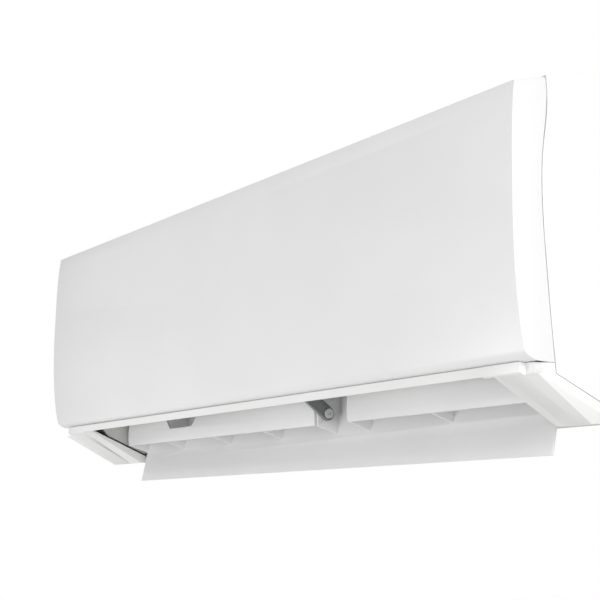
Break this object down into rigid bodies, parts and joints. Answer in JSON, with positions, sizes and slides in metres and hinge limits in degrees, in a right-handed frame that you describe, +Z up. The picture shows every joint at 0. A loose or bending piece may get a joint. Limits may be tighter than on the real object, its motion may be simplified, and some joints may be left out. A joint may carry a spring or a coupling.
{
  "type": "wall-mounted split air conditioner indoor unit",
  "caption": "Wall-hung indoor unit with a hinged front panel, double louver, cross-flow fan, coil, drain pan and wall plate.",
  "frame": {"origin": "centre of the wall plate's back face, at mount wall_face", "axes": "+X to the right seen from the room, +Y into the wall, +Z up"},
  "size_m": [0.79, 0.2058, 0.2913],
  "materials": {
    "board_green": "circuit board",
    "brass": "machined",
    "casing_white": "satin white",
    "component_dark": "moulded",
    "copper": null,
    "dark_plastic": "matte dark grey",
    "fan_plastic": "matte black",
    "fin_aluminium": "coated",
    "inner_plastic": "matte off-white",
    "louver_white": "satin white",
    "panel_gloss": "glossy white",
    "rubber": "matte black",
    "steel": "machined",
    "vane_plastic": "matte light grey",
    "zinc_steel": "zinc coated"
  },
  "bodies": {
    "unit": {"board_components": "component_dark", "casing_frame": "casing_white", "casing_screws": "steel", "coil_end_plates": "zinc_steel", "coil_tubes": "copper", "control_box": "inner_plastic", "control_box_cover": "zinc_steel", "cord_clamp": "rubber", "display_board": "board_green", "drain_pan": "inner_plastic", "drain_plug": "rubber", "drain_spigot": "steel", "fan_bearing": "rubber", "fan_motor": "zinc_steel", "fins_front_lower": "fin_aluminium", "fins_front_upper": "fin_aluminium", "fins_rear": "fin_aluminium", "flare_nuts": "brass", "gas_pipe": "copper", "liquid_pipe": "copper", "louver_centre_arm": "dark_plastic", "louver_motor": "dark_plastic", "louver_motor_screws": "steel", "main_board": "board_green", "motor_saddle": "inner_plastic", "motor_strap": "zinc_steel", "motor_strap_screw": "steel", "outlet_surround": "casing_white", "pipe_clamp": "inner_plastic", "rear_casing": "inner_plastic", "room_sensor": "component_dark", "screw_caps": "casing_white", "terminal_block": "component_dark", "vane_rail_left": "vane_plastic", "vane_rail_right": "vane_plastic", "wall_plate": "zinc_steel"},
    "panel": {"front_panel": "panel_gloss"},
    "fan": {"cross_flow_fan": "fan_plastic", "fan_stub_shaft": "steel", "motor_shaft": "steel", "fan_set_screw": "steel"},
    "louver": {"louver_main_blade": "louver_white", "louver_front_blade": "louver_white", "louver_centre_pin": "dark_plastic", "louver_drive_shaft": "steel"},
    "filter_l": {"filter_left": "casing_white"},
    "filter_r": {"filter_right": "casing_white"},
    "button": {"emergency_button": "casing_white"},
    "vane_left_1_body": {"vane_left_1": "vane_plastic"},
    "vane_left_2_body": {"vane_left_2": "vane_plastic"},
    "vane_left_3_body": {"vane_left_3": "vane_plastic"},
    "vane_left_4_body": {"vane_left_4": "vane_plastic"},
    "link_left": {"vane_link_left": "vane_plastic"},
    "vane_right_1_body": {"vane_right_1": "vane_plastic"},
    "vane_right_2_body": {"vane_right_2": "vane_plastic"},
    "vane_right_3_body": {"vane_right_3": "vane_plastic"},
    "vane_right_4_body": {"vane_right_4": "vane_plastic"},
    "link_right": {"vane_link_right": "vane_plastic"}
  },
  "joints": [
    {"name": "panel_hinge", "type": "hinge", "parent": "unit", "child": "panel", "pos_m": [0, -0.1578, 0.133], "axis": [-1, 0, 0], "range_deg": [0, 60]},
    {"name": "fan_spin", "type": "hinge", "parent": "unit", "child": "fan", "pos_m": [0, -0.092, 0.02], "axis": [1, 0, 0], "continuous": true},
    {"name": "louver_swing", "type": "hinge", "parent": "unit", "child": "louver", "pos_m": [0, -0.128, -0.091], "axis": [1, 0, 0], "range_deg": [-98, 8]},
    {"name": "filter_left_lift", "type": "slide", "parent": "unit", "child": "filter_l", "axis": [0, 0, 1], "range_m": [0, 0.04]},
    {"name": "filter_right_lift", "type": "slide", "parent": "unit", "child": "filter_r", "axis": [0, 0, 1], "range_m": [0, 0.04]},
    {"name": "button_press", "type": "slide", "parent": "unit", "child": "button", "axis": [0, 1, 0], "range_m": [0, 0.0015], "stiffness_N_per_m": 400, "springref_m": -0.001},
    {"name": "vane_left_1_turn", "type": "hinge", "parent": "unit", "child": "vane_left_1_body", "pos_m": [-0.06, -0.10719, -0.04554], "axis": [0, 0.9092, -0.4163], "range_deg": [-30, 30]},
    {"name": "vane_left_2_turn", "type": "hinge", "parent": "unit", "child": "vane_left_2_body", "pos_m": [-0.128, -0.10719, -0.04554], "axis": [0, 0.9092, -0.4163], "range_deg": [-30, 30]},
    {"name": "vane_left_3_turn", "type": "hinge", "parent": "unit", "child": "vane_left_3_body", "pos_m": [-0.196, -0.10719, -0.04554], "axis": [0, 0.9092, -0.4163], "range_deg": [-30, 30]},
    {"name": "vane_left_4_turn", "type": "hinge", "parent": "unit", "child": "vane_left_4_body", "pos_m": [-0.264, -0.10719, -0.04554], "axis": [0, 0.9092, -0.4163], "range_deg": [-30, 30]},
    {"name": "vane_link_left_pivot", "type": "hinge", "parent": "vane_left_1_body", "child": "link_left", "pos_m": [-0.06, -0.12716, -0.0243], "axis": [0, 0.9092, -0.4163], "range_deg": [-30, 30]},
    {"name": "vane_right_1_turn", "type": "hinge", "parent": "unit", "child": "vane_right_1_body", "pos_m": [0.06, -0.10719, -0.04554], "axis": [0, 0.9092, -0.4163], "range_deg": [-30, 30]},
    {"name": "vane_right_2_turn", "type": "hinge", "parent": "unit", "child": "vane_right_2_body", "pos_m": [0.128, -0.10719, -0.04554], "axis": [0, 0.9092, -0.4163], "range_deg": [-30, 30]},
    {"name": "vane_right_3_turn", "type": "hinge", "parent": "unit", "child": "vane_right_3_body", "pos_m": [0.196, -0.10719, -0.04554], "axis": [0, 0.9092, -0.4163], "range_deg": [-30, 30]},
    {"name": "vane_right_4_turn", "type": "hinge", "parent": "unit", "child": "vane_right_4_body", "pos_m": [0.264, -0.10719, -0.04554], "axis": [0, 0.9092, -0.4163], "range_deg": [-30, 30]},
    {"name": "vane_link_right_pivot", "type": "hinge", "parent": "vane_right_1_body", "child": "link_right", "pos_m": [0.06, -0.12716, -0.0243], "axis": [0, 0.9092, -0.4163], "range_deg": [-30, 30]}
  ],
  "couplings": [
    {"joint": "vane_left_2_turn", "follows": "vane_left_1_turn", "ratio": 1},
    {"joint": "vane_left_3_turn", "follows": "vane_left_1_turn", "ratio": 1},
    {"joint": "vane_left_4_turn", "follows": "vane_left_1_turn", "ratio": 1},
    {"joint": "vane_link_left_pivot", "follows": "vane_left_1_turn", "ratio": -1},
    {"joint": "vane_right_2_turn", "follows": "vane_right_1_turn", "ratio": 1},
    {"joint": "vane_right_3_turn", "follows": "vane_right_1_turn", "ratio": 1},
    {"joint": "vane_right_4_turn", "follows": "vane_right_1_turn", "ratio": 1},
    {"joint": "vane_link_right_pivot", "follows": "vane_right_1_turn", "ratio": -1}
  ]
}
